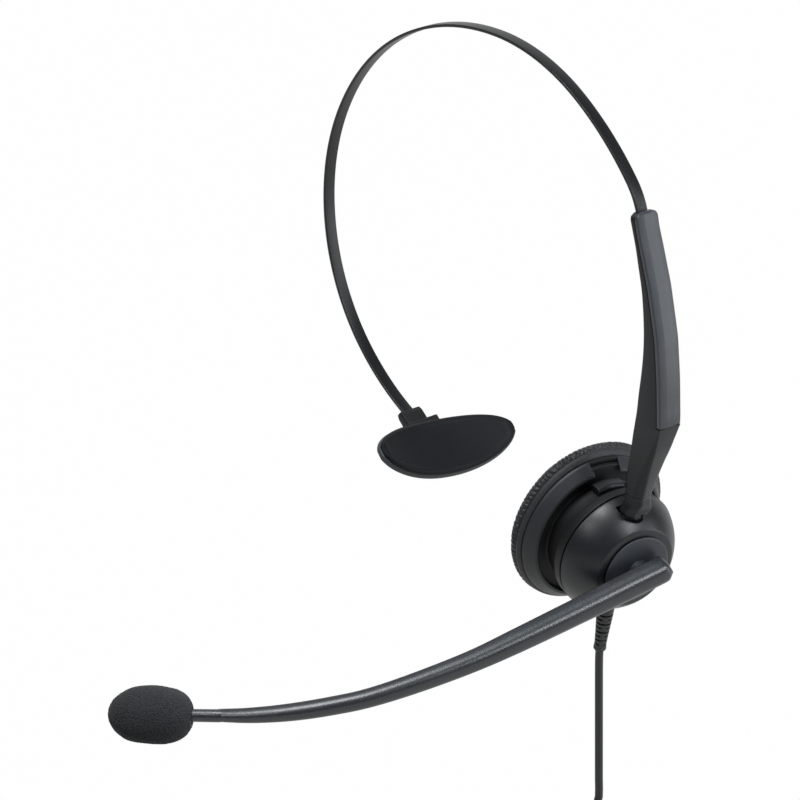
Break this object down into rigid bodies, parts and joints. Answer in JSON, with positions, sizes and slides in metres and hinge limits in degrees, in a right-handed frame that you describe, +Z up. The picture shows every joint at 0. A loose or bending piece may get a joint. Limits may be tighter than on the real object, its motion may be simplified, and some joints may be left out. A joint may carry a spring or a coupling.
{
  "type": "office headset",
  "caption": "Single-ear corded office headset with a sliding flexible headband, tipping temple pad, tilting ear cup and swinging curved microphone boom.",
  "frame": {"origin": "centre of the ear cushion's head-side face", "axes": "+Z up along the wearer's head, -Y forward (the way the boom points), +X out from the ear"},
  "size_m": [0.1488, 0.1685, 0.3276],
  "materials": {
    "shell_black": "fine moulded texture",
    "shell_grey": "fine satin texture",
    "cushion_skin": "soft grained leatherette",
    "foam": "open-cell foam",
    "cloth": "thin acoustic cloth",
    "cord_black": "satin cord jacket",
    "band_black": "black coated spring steel",
    "steel": "machined",
    "contact": "polished plating",
    "copper": "lacquered wire",
    "film": "thin formed film"
  },
  "bodies": {
    "ear_cup": {"ear_cushion": "cushion_skin", "cushion_ring": "shell_black", "speaker_cloth": "cloth", "speaker_grille": "shell_black", "speaker_frame": "shell_black", "diaphragm": "film", "magnet": "steel", "cup_base": "shell_black", "dome_shell": "shell_black", "cup_screws": "steel", "neck_pin": "steel", "strain_relief": "cord_black", "cord_tube": "cord_black", "cord_coil": "cord_black", "cord_tie": "shell_grey", "cord_tail": "cord_black", "plug_body": "shell_black", "plug_shaft": "contact", "plug_rings": "shell_black"},
    "neck": {"neck_block": "shell_black"},
    "arm": {"arm_body": "shell_black", "arm_cover": "shell_grey", "arm_screws": "steel", "friction_spring": "steel", "stem_pin": "steel", "stem_clip": "steel"},
    "headband": {"headband_strip": "band_black", "end_stop": "shell_grey", "pad_clip": "shell_black", "pad_pin": "steel"},
    "temple_pad": {"pad_backing": "shell_black", "pad_cushion": "cushion_skin"},
    "boom": {"hub_disc": "shell_grey", "hub_washer": "steel", "hub_screw": "steel", "boom_outer": "shell_grey", "boom_inner": "shell_black", "mic_lead": "copper", "mic_neck": "shell_black", "mic_capsule": "steel", "windscreen": "foam"}
  },
  "joints": [
    {"name": "neck_tilt", "type": "hinge", "parent": "ear_cup", "child": "neck", "pos_m": [0.0261, -0.00367, 0.00338], "axis": [0.1392, 0.9903, 0], "range_deg": [-9, 9]},
    {"name": "arm_swivel", "type": "hinge", "parent": "neck", "child": "arm", "pos_m": [0.03126, -0.00439, 0.01349], "axis": [0.2143, -0.0301, 0.9763], "range_deg": [-15, 15]},
    {"name": "band_slide", "type": "slide", "parent": "arm", "child": "headband", "axis": [-0.2588, 0, 0.9659], "range_m": [0, 0.019]},
    {"name": "pad_tip", "type": "hinge", "parent": "headband", "child": "temple_pad", "pos_m": [-0.06394, -0.0043, 0.00735], "axis": [0, 1, 0], "range_deg": [-14, 14]},
    {"name": "boom_swing", "type": "hinge", "parent": "ear_cup", "child": "boom", "pos_m": [0.03222, -0.00453, -0.00721], "axis": [-0.9668, 0.1359, 0.2164], "range_deg": [-60, 86]}
  ]
}
